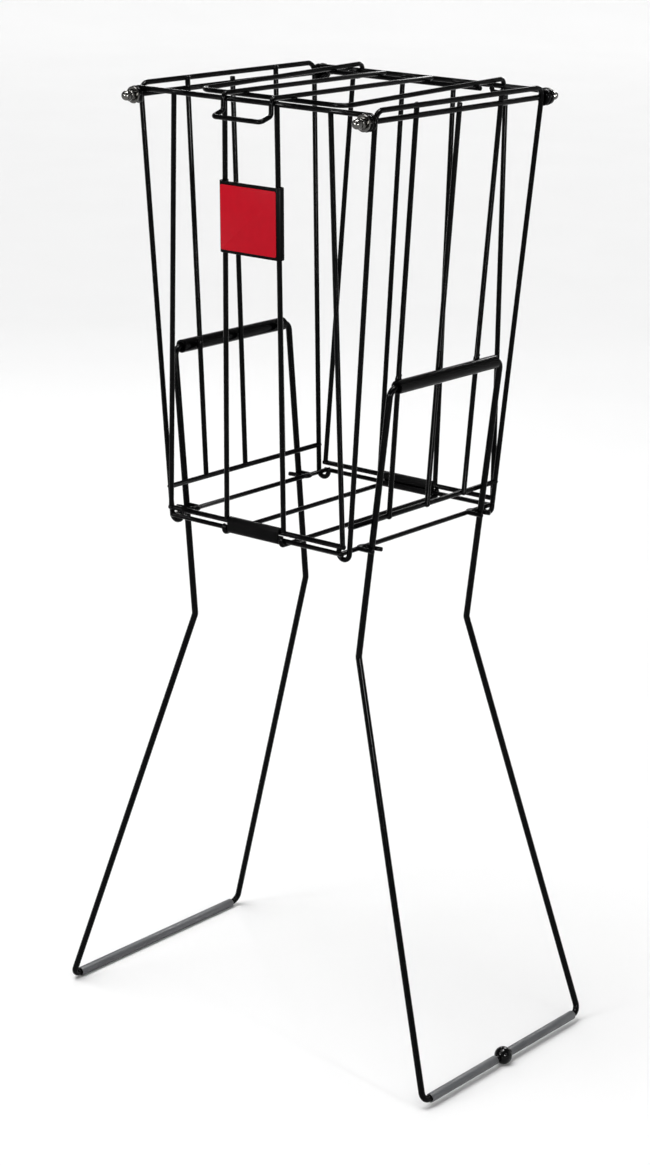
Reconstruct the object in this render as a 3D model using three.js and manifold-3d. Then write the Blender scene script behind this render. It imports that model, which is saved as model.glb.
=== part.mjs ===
// Wire tennis ball hopper: a tapered basket of welded wire panels on two swinging leg frames.
// Millimetres, +Z up. X runs across the front, from the left leg to the right leg, and the
// front faces -Y. Pieces are laid out about the middle of the basket, and the whole is then
// moved so that the origin is on the floor under the middle of its bounding box.
import * as THREE from 'three';
import { mergeVertices } from 'three/addons/utils/BufferGeometryUtils.js';
import Module from 'manifold-3d';

// Wire sizes
const PANEL_WIRE_R = 2.4;
const ROD_R = 2.5;
const GRID_WIRE_R = 2.2;
const LID_WIRE_R = 2.2;
const CLIP_WIRE_R = 2.1;
const LEG_WIRE_R = 3.0;
const GAP = 0.35;
const SLIVER = 0.03;

// Basket taper: half widths of the wire planes at the eyes and at the bottom rims
const EYE_Z = 887;
const TOP_X = 129.6;
const TOP_Y = 129;
const BOTTOM_Z = 508;
const BOTTOM_X = 105;
const BOTTOM_Y = 115;

// Front and rear panels
const EYE_R = 5.7;
const EYE_PITCH = 2 * PANEL_WIRE_R + 0.2;
const RIM_Z = EYE_Z + EYE_R;
const UPRIGHTS_TOP_X = [-88.2, -29.4, 29.4, 88.2];
const UPRIGHTS_BOTTOM_X = [-101, -33.4, 33.4, 101];

// Side panels
const SIDE_TOP_X = TOP_X + 2;
const CORNER_INSET = 2 * PANEL_WIRE_R + 0.4;
const SIDE_TOP_Z = EYE_Z + 9.2;
const SIDE_BAR_Z = 526;
const SIDE_UPRIGHT_TOP_Y = 63;
const SIDE_UPRIGHT_BOTTOM_Y = 57;
const POST_HOOK_R = 6;
const SIDE_UPRIGHT_LEAN = 2.2;

// Washers and acorn nuts on the ends of the side panels' rods
const ROD_OVERHANG = EYE_PITCH + 10;
const WASHER_R = 7.6;
const WASHER_THICK = 1.4;
const NUT_CORNER_R = 5.4;
const NUT_HEX_HEIGHT = 5;
const NUT_DOME_R = 4.5;
const NUT_HEIGHT = 12;
const NUT_BORE_DEPTH = 7.5;

// Bottom grid
const GRID_Z = 501;
const GRID_BARS_X = [-33.4, 33.4];
const BINDING_LENGTH = 60;
const BINDING_WALL = 1.5;

// Leg frames: pivot axis, knee and foot of one upright
const PIVOT_X = 125.6;
const PIVOT_Z = 650;
const UPRIGHT_Y = 83.5;
const KNEE_X = 98;
const KNEE_Z = 397.5;
const FOOT_X = 217.5;
const FOOT_Y = 127;
const SLEEVE_R = 6.2;
const SLEEVE_HALF = 75;
const WELD_R = 3.2;
const WELD_BELOW = 6;
const WELD_ABOVE = 9;
const GRIP_R = 4.4;
const LEG_BEND = 8;
const GRIP_END_Y = 116.5;
const KNOB_R = 8.5;

// Lid
const LID_HALF_X = 82;
const LID_DEPTH = 231;
const LID_REAR_RISE = 5.9;
const LID_FRONT_RISE = 0.9;
const LID_CROSS_BAR = 37;
const LID_CROSS_OVERHANG = 5;
const LATCH_HALF_X = 27;

// Sign
const SIGN_Z = 789;
const SIGN_HEIGHT = 64;
const SIGN_WALL = 1.6;

// The knob stands further out than the left grip, so the middle of the basket is this far from
// the middle of the bounding box
const BASKET_OFFSET_X = -2.05;

const wasm = await Module();
wasm.setup();

const COAT = { color: 0x131416, roughness: 0.32, metalness: 0.15 };
const BLACK_PLASTIC = { color: 0x1b1c1e, roughness: 0.5, metalness: 0 };
const GREY_PLASTIC = { color: 0x55585c, roughness: 0.62, metalness: 0 };
const KNOB_PLASTIC = { color: 0x0c0d0e, roughness: 0.12, metalness: 0 };
const BRIGHT_NICKEL = { color: 0xd8dadd, roughness: 0.18, metalness: 1 };
const RED_PRINT = { color: 0xb21226, roughness: 0.45, metalness: 0 };

const vec = (x, y, z) => new THREE.Vector3(x, y, z);

// Share of the way up from the bottom rims to the eyes
const rise = (z) => (z - BOTTOM_Z) / (EYE_Z - BOTTOM_Z);
const sideX = (z) => THREE.MathUtils.lerp(BOTTOM_X, SIDE_TOP_X, rise(z));
const frontY = (z) => THREE.MathUtils.lerp(BOTTOM_Y, TOP_Y, rise(z));

// A wire with rounded corners: straight runs joined by arcs, one station at each end of a run
// and every step of a bend, so that a straight run is a single prism.
class BentWire extends THREE.Curve {
  constructor(stations) {
    super();
    this.stations = stations;
  }

  getPoint(t) {
    const last = this.stations.length - 1;
    return this.stations[Math.round(t * last)].clone();
  }

  getPointAt(t) {
    return this.getPoint(t);
  }

  getTangentAt(t) {
    const last = this.stations.length - 1;
    const i = Math.round(t * last);
    const here = this.stations[i];
    const tangent = vec(0, 0, 0);
    if (i > 0) {
      tangent.add(here.clone().sub(this.stations[i - 1]).normalize());
    }
    if (i < last) {
      tangent.add(this.stations[i + 1].clone().sub(here).normalize());
    }
    return tangent.normalize();
  }
}

// Stations along corner points, each inner corner rounded to the bend radius
function roundedStations(corners, bend, stepAngle = 0.5) {
  const stations = [corners[0]];
  for (let i = 1; i < corners.length - 1; i += 1) {
    const into = corners[i].clone().sub(corners[i - 1]).normalize();
    const out = corners[i + 1].clone().sub(corners[i]).normalize();
    const turn = into.angleTo(out);
    const reach = bend * Math.tan(turn / 2);
    const start = corners[i].clone().addScaledVector(into, -reach);
    const inward = out.clone().addScaledVector(into, -out.dot(into)).normalize();
    const centre = start.clone().addScaledVector(inward, bend);
    const steps = Math.max(1, Math.ceil(turn / stepAngle));
    for (let k = 0; k <= steps; k += 1) {
      const angle = (turn * k) / steps;
      stations.push(
        centre
          .clone()
          .addScaledVector(inward, -bend * Math.cos(angle))
          .addScaledVector(into, bend * Math.sin(angle)),
      );
    }
  }
  stations.push(corners[corners.length - 1]);
  return stations;
}

// Stations on an arc about a centre, from one angle to another, in the plane of two unit axes
function arcStations(centre, axisA, axisB, radius, from, to, stepAngle = 0.55) {
  const steps = Math.ceil(Math.abs(to - from) / stepAngle);
  const stations = [];
  for (let k = 0; k <= steps; k += 1) {
    const angle = from + ((to - from) * k) / steps;
    stations.push(
      centre
        .clone()
        .addScaledVector(axisA, radius * Math.cos(angle))
        .addScaledVector(axisB, radius * Math.sin(angle)),
    );
  }
  return stations;
}

function circlePoints(radius, sides, roll = 0) {
  const points = [];
  for (let k = 0; k < sides; k += 1) {
    const angle = roll + (2 * Math.PI * (k + 0.5)) / sides;
    points.push(new THREE.Vector2(radius * Math.cos(angle), radius * Math.sin(angle)));
  }
  return points;
}

// The section is rolled a little so that crossing wires share no facet or edge
function wireGeometry(stations, radius, roll = 0, sides = 8) {
  return new THREE.ExtrudeGeometry(new THREE.Shape(circlePoints(radius, sides, roll)), {
    steps: stations.length - 1,
    extrudePath: new BentWire(stations),
  });
}

// A tube along Y, open at both ends, with a flat side at the bottom at the outer radius
function tubeGeometry(outerRadius, inner, length) {
  const segments = 16;
  const outer = outerRadius / Math.cos(Math.PI / segments);
  const profile = [
    new THREE.Vector2(inner, -length / 2),
    new THREE.Vector2(outer, -length / 2),
    new THREE.Vector2(outer, length / 2),
    new THREE.Vector2(inner, length / 2),
    new THREE.Vector2(inner, -length / 2),
  ];
  return new THREE.LatheGeometry(profile, segments).rotateY(Math.PI / segments);
}

function toSolid(geometry) {
  const bare = geometry.index ? geometry.toNonIndexed() : geometry.clone();
  bare.deleteAttribute('normal');
  bare.deleteAttribute('uv');
  const merged = mergeVertices(bare, 1e-4);
  return new wasm.Manifold(
    new wasm.Mesh({
      numProp: 3,
      vertProperties: new Float32Array(merged.attributes.position.array),
      triVerts: new Uint32Array(merged.index.array),
    }),
  );
}

function toGeometry(solid) {
  const mesh = solid.getMesh();
  const geometry = new THREE.BufferGeometry();
  geometry.setAttribute('position', new THREE.BufferAttribute(mesh.vertProperties, 3));
  geometry.setIndex(new THREE.BufferAttribute(mesh.triVerts, 1));
  geometry.computeVertexNormals();
  return geometry;
}

// Welded wires become one solid, and slivers left where they meet are cleared
function weld(geometries) {
  const solids = geometries.map(toSolid);
  const welded = solids.reduce((sum, solid) => sum.add(solid));
  return toGeometry(welded.asOriginal().setTolerance(SLIVER));
}

function piece(name, geometry, finish) {
  const mesh = new THREE.Mesh(geometry, new THREE.MeshStandardMaterial(finish));
  mesh.name = name;
  return mesh;
}

// Front panel: a rim wire ending in two eyes, four uprights and a bottom rim. Each eye is a turn
// and a half of the wire, and steps forward by one wire on its way up the inner side.
// It is made for the front, and the rear panel is the same piece turned half a turn.
function endPanelGeometry() {
  const right = vec(1, 0, 0);
  const up = vec(0, 0, 1);
  const eye = (side) => {
    const centre = vec(side * TOP_X, -TOP_Y, EYE_Z);
    const turns = arcStations(centre, vec(side, 0, 0), up, EYE_R, Math.PI / 2, -2.5 * Math.PI);
    turns.forEach((station, k) => {
      const turned = (3 * Math.PI * k) / (turns.length - 1);
      station.y -= EYE_PITCH * THREE.MathUtils.smoothstep(turned, Math.PI, 1.5 * Math.PI);
    });
    return turns;
  };
  const rim = [...eye(-1).reverse(), ...eye(1)];
  const wires = [wireGeometry(rim, PANEL_WIRE_R)];
  UPRIGHTS_TOP_X.forEach((topX, i) => {
    const top = vec(topX, -frontY(RIM_Z), RIM_Z + 0.7);
    const bottom = vec(UPRIGHTS_BOTTOM_X[i], -BOTTOM_Y, BOTTOM_Z - 0.7);
    wires.push(wireGeometry([bottom, top], PANEL_WIRE_R, 0.13));
  });
  const end = UPRIGHTS_BOTTOM_X[3] + PANEL_WIRE_R;
  const rimEnd = vec(0, -BOTTOM_Y, BOTTOM_Z).addScaledVector(right, -end);
  const rimFarEnd = vec(0, -BOTTOM_Y, BOTTOM_Z).addScaledVector(right, end);
  wires.push(wireGeometry([rimEnd, rimFarEnd], PANEL_WIRE_R));
  return weld(wires);
}

// Right side panel: one bent wire makes the top bar, both corner posts and the hooks under
// them that carry the bottom grid. The threaded rod under the top bar takes the nuts. The
// uprights lean from outside the bottom bar to inside the top bar. The leg sleeve is welded to
// the outer two, and the weld round each of them stands up a little above the sleeve.
function sidePanelGeometry() {
  const post = (side, z) => vec(sideX(z), side * (frontY(z) - CORNER_INSET), z);
  const bend = roundedStations(
    [post(-1, GRID_Z), post(-1, SIDE_TOP_Z), post(1, SIDE_TOP_Z), post(1, GRID_Z)],
    9,
  );
  const hookUnder = (side) => arcStations(
    post(side, GRID_Z).add(vec(-POST_HOOK_R, 0, 0)),
    vec(1, 0, 0),
    vec(0, 0, 1),
    POST_HOOK_R,
    -Math.PI * 1.2,
    0,
  );
  const frame = [...hookUnder(-1), ...bend.slice(1, -1), ...hookUnder(1).reverse()];
  const rodEnd = TOP_Y + ROD_OVERHANG;
  const wires = [
    wireGeometry(frame, PANEL_WIRE_R),
    wireGeometry([vec(TOP_X, -rodEnd, EYE_Z), vec(TOP_X, rodEnd, EYE_Z)], ROD_R, 0.11),
    wireGeometry([post(-1, SIDE_BAR_Z), post(1, SIDE_BAR_Z)], PANEL_WIRE_R, 0.17),
  ];
  const upright = (quarter, z) => {
    const spread = THREE.MathUtils.lerp(SIDE_UPRIGHT_BOTTOM_Y, SIDE_UPRIGHT_TOP_Y, rise(z));
    const lean = THREE.MathUtils.lerp(SIDE_UPRIGHT_LEAN, -SIDE_UPRIGHT_LEAN, rise(z));
    return vec(sideX(z) + lean, quarter * spread, z);
  };
  const tops = [SIDE_TOP_Z, EYE_Z + 5, SIDE_TOP_Z];
  [-1, 0, 1].forEach((quarter, i) => {
    wires.push(wireGeometry(
      [upright(quarter, SIDE_BAR_Z - 1), upright(quarter, tops[i] + 1)],
      PANEL_WIRE_R,
      0.07,
    ));
  });
  [-1, 1].forEach((quarter) => {
    wires.push(wireGeometry(
      [upright(quarter, PIVOT_Z - WELD_BELOW), upright(quarter, PIVOT_Z + WELD_ABOVE)],
      WELD_R,
      0.21,
    ));
  });
  return weld(wires);
}

// Distance of a leg upright's axis from the middle at a height above the floor
const uprightX = (z) => THREE.MathUtils.mapLinear(z, KNEE_Z, PIVOT_Z, KNEE_X, PIVOT_X);

// Bottom grid: a frame that lies in the hooks of the corner posts, two bars that part it into
// three narrow gaps, and a sprung fork for each leg upright.
function gridGeometry() {
  const sideBarX = sideX(GRID_Z) - POST_HOOK_R;
  const endBarY = frontY(GRID_Z);
  const wires = [];
  [-1, 1].forEach((side) => {
    wires.push(wireGeometry(
      [vec(-sideBarX - 3, side * endBarY, GRID_Z), vec(sideBarX + 3, side * endBarY, GRID_Z)],
      GRID_WIRE_R,
      0.19,
    ));
    wires.push(wireGeometry(
      [vec(side * sideBarX, -endBarY, GRID_Z), vec(side * sideBarX, endBarY, GRID_Z)],
      GRID_WIRE_R,
      0.09,
    ));
  });
  const wrap = 2 * GRID_WIRE_R - 0.4;
  GRID_BARS_X.forEach((x) => {
    const curl = (side) => arcStations(
      vec(x, side * endBarY, GRID_Z),
      vec(0, side, 0),
      vec(0, 0, 1),
      wrap,
      -Math.PI / 2,
      Math.PI * 0.3,
    );
    wires.push(wireGeometry([...curl(-1).reverse(), ...curl(1)], GRID_WIRE_R, 0.05));
  });
  const forkHalf = LEG_WIRE_R + GAP + CLIP_WIRE_R;
  const tipX = uprightX(GRID_Z) + LEG_WIRE_R + 4;
  const backX = sideBarX + 3;
  [-1, 1].forEach((side) => {
    [-1, 1].forEach((end) => {
      const y = end * UPRIGHT_Y;
      const fork = [
        vec(side * tipX, y - forkHalf - 1.2, GRID_Z),
        vec(side * (tipX - 5), y - forkHalf, GRID_Z),
        ...arcStations(
          vec(side * backX, y, GRID_Z),
          vec(0, -1, 0),
          vec(-side, 0, 0),
          forkHalf,
          0,
          Math.PI,
        ),
        vec(side * (tipX - 5), y + forkHalf, GRID_Z),
        vec(side * tipX, y + forkHalf + 1.2, GRID_Z),
      ];
      wires.push(wireGeometry(fork, CLIP_WIRE_R, 0.15));
    });
  });
  return weld(wires);
}

// Split oval sleeve that binds a panel's bottom rim to the grid bar under it.
// Its section is drawn in X and Y as seen along the bars, with the slit on +X.
function bindingGeometry() {
  const bore = PANEL_WIRE_R + GAP;
  const outer = bore + BINDING_WALL;
  const half = (BOTTOM_Z - GRID_Z) / 2;
  const slit = 0.9;
  const section = new THREE.Shape();
  section.moveTo(outer, slit);
  section.lineTo(outer, half);
  section.absarc(0, half, outer, 0, Math.PI, false);
  section.lineTo(-outer, -half);
  section.absarc(0, -half, outer, Math.PI, 2 * Math.PI, false);
  section.lineTo(outer, -slit);
  section.lineTo(bore, -slit);
  section.lineTo(bore, -half);
  section.absarc(0, -half, bore, 2 * Math.PI, Math.PI, true);
  section.lineTo(-bore, half);
  section.absarc(0, half, bore, Math.PI, 0, true);
  section.lineTo(bore, slit);
  const sleeve = new THREE.ExtrudeGeometry(section, {
    depth: BINDING_LENGTH,
    bevelEnabled: false,
    curveSegments: 10,
  });
  sleeve.translate(0, 0, -BINDING_LENGTH / 2);
  return sleeve.rotateX(Math.PI / 2).rotateZ(Math.PI / 2);
}

// Acorn nut about Y: a hexagon and a dome towards -Y, bored from +Y
function acornNutGeometry() {
  const hexagon = new THREE.CylinderGeometry(NUT_CORNER_R, NUT_CORNER_R, NUT_HEX_HEIGHT, 6);
  hexagon.translate(0, -NUT_HEX_HEIGHT / 2, 0);
  const shoulder = NUT_HEIGHT - NUT_DOME_R;
  const domeProfile = [new THREE.Vector2(0, 0), new THREE.Vector2(NUT_DOME_R, 0)];
  for (let k = 0; k <= 4; k += 1) {
    const angle = (Math.PI / 2) * (k / 4);
    const radius = k === 4 ? 0 : NUT_DOME_R * Math.cos(angle);
    domeProfile.push(new THREE.Vector2(radius, shoulder + NUT_DOME_R * Math.sin(angle)));
  }
  const dome = new THREE.LatheGeometry(domeProfile, 12).rotateX(Math.PI);
  const bore = new THREE.CylinderGeometry(ROD_R + GAP, ROD_R + GAP, 2 * NUT_BORE_DEPTH, 12);
  return toGeometry(toSolid(hexagon).add(toSolid(dome)).subtract(toSolid(bore)));
}

// Leg frame of one open wire: both ends turn into the pivot sleeve from its two ends
function legGeometry(footZ) {
  const corners = [
    vec(PIVOT_X, -8, PIVOT_Z),
    vec(PIVOT_X, -UPRIGHT_Y, PIVOT_Z),
    vec(KNEE_X, -UPRIGHT_Y, KNEE_Z),
    vec(FOOT_X, -FOOT_Y, footZ),
    vec(FOOT_X, FOOT_Y, footZ),
    vec(KNEE_X, UPRIGHT_Y, KNEE_Z),
    vec(PIVOT_X, UPRIGHT_Y, PIVOT_Z),
    vec(PIVOT_X, 8, PIVOT_Z),
  ];
  return wireGeometry(roundedStations(corners, LEG_BEND, 0.35), LEG_WIRE_R, 0, 10);
}

// Ball knob about Y with the foot bar through it
function knobGeometry() {
  const bore = LEG_WIRE_R + GAP;
  const start = Math.asin(bore / KNOB_R);
  const profile = [];
  for (let k = 0; k <= 8; k += 1) {
    const angle = start + ((Math.PI - 2 * start) * k) / 8;
    profile.push(new THREE.Vector2(KNOB_R * Math.sin(angle), -KNOB_R * Math.cos(angle)));
  }
  profile.push(profile[0].clone());
  return new THREE.LatheGeometry(profile, 20);
}

// Lid about the rear rim's axis: X along the axis, the lid reaching towards -Y. Its frame wire
// slopes down from over the rear rim to the level of the front rim, and ends in two hooks that
// go round behind the rear rim and run forward under it. A cross bar is welded under the side
// wires. The latch wire lies on the cross bar, the front bar and the front rim, and its bent
// end in front of the rim is the finger lip.
function lidGeometry() {
  const hook = (side) => [
    ...arcStations(
      vec(side * LID_HALF_X, 0, 0),
      vec(0, 1, 0),
      vec(0, 0, 1),
      LID_REAR_RISE,
      Math.PI / 2,
      -Math.PI / 2,
    ),
    ...roundedStations(
      [
        vec(side * LID_HALF_X, -3, -LID_REAR_RISE),
        vec(side * LID_HALF_X, -11, -LID_REAR_RISE + 1.5),
        vec(side * LID_HALF_X, -14, -LID_REAR_RISE + 6),
      ],
      2.5,
    ),
  ];
  const bow = roundedStations(
    [
      vec(-LID_HALF_X, 0, LID_REAR_RISE),
      vec(-LID_HALF_X, -LID_DEPTH, LID_FRONT_RISE),
      vec(LID_HALF_X, -LID_DEPTH, LID_FRONT_RISE),
      vec(LID_HALF_X, 0, LID_REAR_RISE),
    ],
    12,
  );
  const frame = [...hook(-1).reverse(), ...bow.slice(1, -1), ...hook(1)];
  const latchRise = PANEL_WIRE_R + GAP + LID_WIRE_R;
  const weldedUnder = latchRise - 2 * LID_WIRE_R + 0.35;
  const crossEnd = LID_HALF_X + LID_CROSS_OVERHANG;
  const crossBar = [
    vec(-crossEnd, -LID_CROSS_BAR, weldedUnder),
    vec(crossEnd, -LID_CROSS_BAR, weldedUnder),
  ];
  const rimY = -2 * TOP_Y;
  const drop = (x) => [
    vec(x, -LID_CROSS_BAR + 6, latchRise),
    ...arcStations(vec(x, rimY, 0), vec(0, -1, 0), vec(0, 0, 1), latchRise, Math.PI / 2, 0),
  ];
  const lip = roundedStations(
    [
      vec(-LATCH_HALF_X, rimY - latchRise, 0),
      vec(-LATCH_HALF_X, rimY - latchRise, -10),
      vec(-LATCH_HALF_X, rimY - latchRise - 14, -14),
      vec(LATCH_HALF_X, rimY - latchRise - 14, -14),
      vec(LATCH_HALF_X, rimY - latchRise, -10),
      vec(LATCH_HALF_X, rimY - latchRise, 0),
    ],
    5,
  );
  const latch = [...drop(-LATCH_HALF_X), ...lip.slice(1, -1), ...drop(LATCH_HALF_X).reverse()];
  return weld([frame, crossBar, latch].map((wire, i) => wireGeometry(wire, LID_WIRE_R, 0.08 * i)));
}

// Sign plate: a flat face whose two edges curl round the middle uprights of the front panel.
// The section is in X and Y, and the plate is as high as its extrusion along Z.
function signPlateGeometry(halfX) {
  const bore = PANEL_WIRE_R + 0.7;
  const outer = bore + SIGN_WALL;
  const turn = Math.PI * 0.55;
  const section = new THREE.Shape();
  section.moveTo(-halfX, -outer);
  section.lineTo(halfX, -outer);
  section.absarc(halfX, 0, outer, -Math.PI / 2, turn, false);
  section.lineTo(halfX + bore * Math.cos(turn), bore * Math.sin(turn));
  section.absarc(halfX, 0, bore, turn, -Math.PI / 2, true);
  section.lineTo(-halfX, -bore);
  section.absarc(-halfX, 0, bore, -Math.PI / 2, -Math.PI - turn, true);
  section.lineTo(-halfX - outer * Math.cos(turn), outer * Math.sin(turn));
  section.absarc(-halfX, 0, outer, -Math.PI - turn, -Math.PI / 2, false);
  const plate = new THREE.ExtrudeGeometry(section, {
    depth: SIGN_HEIGHT,
    bevelEnabled: false,
    curveSegments: 10,
  });
  return plate.translate(0, 0, -SIGN_HEIGHT / 2);
}

const hopper = new THREE.Group();
hopper.position.x = BASKET_OFFSET_X;

// Basket walls
const endPanel = endPanelGeometry();
const sidePanel = sidePanelGeometry();
const frontPanel = piece('front_panel', endPanel, COAT);
const rearPanel = piece('rear_panel', endPanel, COAT);
rearPanel.rotation.z = Math.PI;
const rightPanel = piece('right_panel', sidePanel, COAT);
const leftPanel = piece('left_panel', sidePanel, COAT);
leftPanel.rotation.z = Math.PI;
hopper.add(frontPanel, rearPanel, rightPanel, leftPanel);
hopper.add(piece('bottom_grid', gridGeometry(), COAT));

// Sleeves that bind the end panels to the grid
const binding = bindingGeometry();
[['front', 1], ['rear', -1]].forEach(([place, turn]) => {
  const sleeve = piece(`${place}_binding_sleeve`, binding, BLACK_PLASTIC);
  const group = new THREE.Group();
  sleeve.position.set(0, -BOTTOM_Y + 0.15, (BOTTOM_Z + GRID_Z) / 2);
  group.rotation.z = turn > 0 ? 0 : Math.PI;
  group.add(sleeve);
  hopper.add(group);
});

// Washers and acorn nuts outside the four eyes
const washer = tubeGeometry(WASHER_R, ROD_R + GAP, WASHER_THICK);
const nut = acornNutGeometry();
const washerY = TOP_Y + EYE_PITCH + PANEL_WIRE_R + GAP + WASHER_THICK / 2;
const nutY = washerY + WASHER_THICK / 2 + GAP;
[['front', 0], ['rear', Math.PI]].forEach(([end, turn]) => {
  const group = new THREE.Group();
  group.rotation.z = turn;
  [-1, 1].forEach((side) => {
    const isLeft = turn === 0 ? side < 0 : side > 0;
    const corner = `${end}_${isLeft ? 'left' : 'right'}`;
    const ring = piece(`${corner}_washer`, washer, BRIGHT_NICKEL);
    ring.position.set(side * TOP_X, -washerY, EYE_Z);
    const acorn = piece(`${corner}_acorn_nut`, nut, BRIGHT_NICKEL);
    acorn.position.set(side * TOP_X, -nutY, EYE_Z);
    group.add(ring, acorn);
  });
  hopper.add(group);
});

// Sign on the front panel, leaning with it
const signUprightX = THREE.MathUtils.mapLinear(
  SIGN_Z,
  BOTTOM_Z,
  RIM_Z,
  UPRIGHTS_BOTTOM_X[2],
  UPRIGHTS_TOP_X[2],
);
const sign = new THREE.Group();
sign.position.set(0, -frontY(SIGN_Z), SIGN_Z);
sign.rotation.x = Math.atan2(TOP_Y - BOTTOM_Y, EYE_Z - BOTTOM_Z);
const label = piece('sign_label', new THREE.BoxGeometry(63, 0.6, 58), RED_PRINT);
label.position.y = -(PANEL_WIRE_R + 0.7 + SIGN_WALL + GAP + 0.3);
sign.add(piece('sign_plate', signPlateGeometry(signUprightX), BLACK_PLASTIC), label);
hopper.add(sign);

// Leg frames with their sleeves, grips and the ball knob
const sleeveTube = tubeGeometry(SLEEVE_R, LEG_WIRE_R + GAP, 2 * SLEEVE_HALF);
[['right', 0, KNOB_R], ['left', Math.PI, GRIP_R]].forEach(([place, turn, footZ]) => {
  const group = new THREE.Group();
  group.rotation.z = turn;
  const sleeve = piece(`${place}_pivot_sleeve`, sleeveTube, COAT);
  sleeve.position.set(PIVOT_X, 0, PIVOT_Z);
  group.add(sleeve, piece(`${place}_leg_frame`, legGeometry(footZ), COAT));
  hopper.add(group);
});
const gripBore = LEG_WIRE_R + GAP;
const leftGrip = piece('left_grip', tubeGeometry(GRIP_R, gripBore, 2 * GRIP_END_Y), GREY_PLASTIC);
leftGrip.position.set(-FOOT_X, 0, GRIP_R);
hopper.add(leftGrip);
const shortGrip = GRIP_END_Y - KNOB_R - GAP;
[['front', -1], ['rear', 1]].forEach(([place, side]) => {
  const grip = piece(`right_${place}_grip`, tubeGeometry(GRIP_R, gripBore, shortGrip), GREY_PLASTIC);
  grip.position.set(FOOT_X, side * (GRIP_END_Y - shortGrip / 2), KNOB_R);
  hopper.add(grip);
});
const knob = piece('ball_knob', knobGeometry(), KNOB_PLASTIC);
knob.position.set(FOOT_X, 0, KNOB_R);
hopper.add(knob);

// Lid, resting on the front rim and hooked over the rear rim
const lid = piece('lid', lidGeometry(), COAT);
lid.position.set(0, TOP_Y, RIM_Z);
hopper.add(lid);

export default hopper;
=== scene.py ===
import math

import bmesh
import bpy
from bpy.props import FloatProperty, FloatVectorProperty, PointerProperty
from mathutils import Matrix, Vector


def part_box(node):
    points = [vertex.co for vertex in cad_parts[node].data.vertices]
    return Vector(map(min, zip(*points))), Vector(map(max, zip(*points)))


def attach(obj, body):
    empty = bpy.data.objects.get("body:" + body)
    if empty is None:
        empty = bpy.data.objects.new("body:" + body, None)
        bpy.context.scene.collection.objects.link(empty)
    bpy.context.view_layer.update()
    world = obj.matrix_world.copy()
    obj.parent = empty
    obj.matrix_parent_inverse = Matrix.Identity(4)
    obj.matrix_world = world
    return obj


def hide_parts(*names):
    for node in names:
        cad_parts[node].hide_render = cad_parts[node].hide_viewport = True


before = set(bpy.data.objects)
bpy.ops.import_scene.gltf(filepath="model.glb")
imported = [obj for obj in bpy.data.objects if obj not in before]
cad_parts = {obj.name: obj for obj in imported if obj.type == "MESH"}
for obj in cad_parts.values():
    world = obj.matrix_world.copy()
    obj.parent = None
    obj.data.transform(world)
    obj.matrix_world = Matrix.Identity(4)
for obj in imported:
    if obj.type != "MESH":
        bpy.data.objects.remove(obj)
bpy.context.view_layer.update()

bl_info = {
    "name": "Wire ball hopper",
    "version": (1, 0, 0),
    "blender": (4, 5, 0),
    "location": "View3D > Sidebar > Hopper",
    "description": "Dresses the wire ball hopper: coated wires, sleeves, nuts, sign, grips and lid",
    "category": "Add Mesh",
}

X = Vector((1, 0, 0))
Y = Vector((0, 1, 0))
Z = Vector((0, 0, 1))
BOTH = (-1, 1)
# End and side pieces are shaped in front or on the right: 1 leaves them there, -1 turns them round
ENDS = (("front", 1), ("rear", -1))
SIDES = (("left", -1), ("right", 1))

# Lengths below are in metres and angles in radians, where nothing else is said.
# How finely round shapes are drawn: sides of wires, angle of a bend's step, steps of turned shapes
WIRE_SIDES = 24
FORK_SIDES = 20
LEG_SIDES = 32
BEND_STEP = 0.14
TURN_STEPS = 48
TUBE_STEPS = 40
KNOB_STEPS = 64
KNOB_ROWS = 24
DOME_ROWS = 12
FLOOR_STEPS = 96

# Fits between pieces
CLEARANCE = 0.00035  # round or between pieces that fit closely
COIL_GAP = 0.0002  # between the turns of an eye
SIGN_PLAY = 0.0007  # between the sign plate and the uprights in it
PLACE_SLACK = 0.0015  # between a piece's box and its node's
TINY = 1e-6

# Ends, laps and bends of the basket's wires
END_ROUND = 0.35  # edge of a cut end, in wire radii
EYE_TURNS = 1.5
RIM_LAP = 0.0007  # end panels' uprights past the middle of their rims
BAR_LAP = 0.001  # side panels' uprights past the middle of their bars
SHORT_UPRIGHT = 0.005  # side panels' middle upright above the rod
PANEL_BEND = 0.009
POST_HOOK_TURN = 1.2 * math.pi
ROD_END = 0.0102  # rod past the second turn of its eye
ROD_WELD_OUT = 0.001  # weld of rod and post, outside the rod's middle
LUMP_SHIFT = Vector((0, 0.0014, -0.0022))  # from the top of a sleeve's weld to the lump on it
GRID_OVERHANG = 0.003
CURL_TURN = 0.3 * math.pi
CURL_BITE = 0.0004  # curled bar ends pressed into the grid's frame
FORK_REACH = 0.004  # fork past the leg in it
FORK_TIP = 0.005
FORK_FLARE = 0.0012

# Wires of the legs and the lid
LEG_END = 0.008  # from the middle of a pivot sleeve to the wire's ends in it
LID_BEND = 0.012
LID_TAIL = ((-0.003, 0), (-0.011, 0.0015), (-0.014, 0.006))  # y and z from under the rear rim
TAIL_BEND = 0.0025
LATCH_START = 0.006  # latch wire's ends behind the cross bar
LATCH_DROP = 0.010  # where the latch wire turns forward, below the front rim
LIP_BEND = 0.0038

# Welds: half thickness and half width, in wire radii
RIM_WELD = (0.9, 1.28)
UPRIGHT_WELD = (1.3, 1.12)
BAR_WELD = (0.9, 1.25)
ROD_WELD = (1.1, 1.3)
LUMP_WELD = (0.95, 0.9)
GRID_WELD = (0.9, 1.3)
FORK_WELD = (0.95, 1.2)
LID_WELD = (0.8, 1.1)

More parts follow.
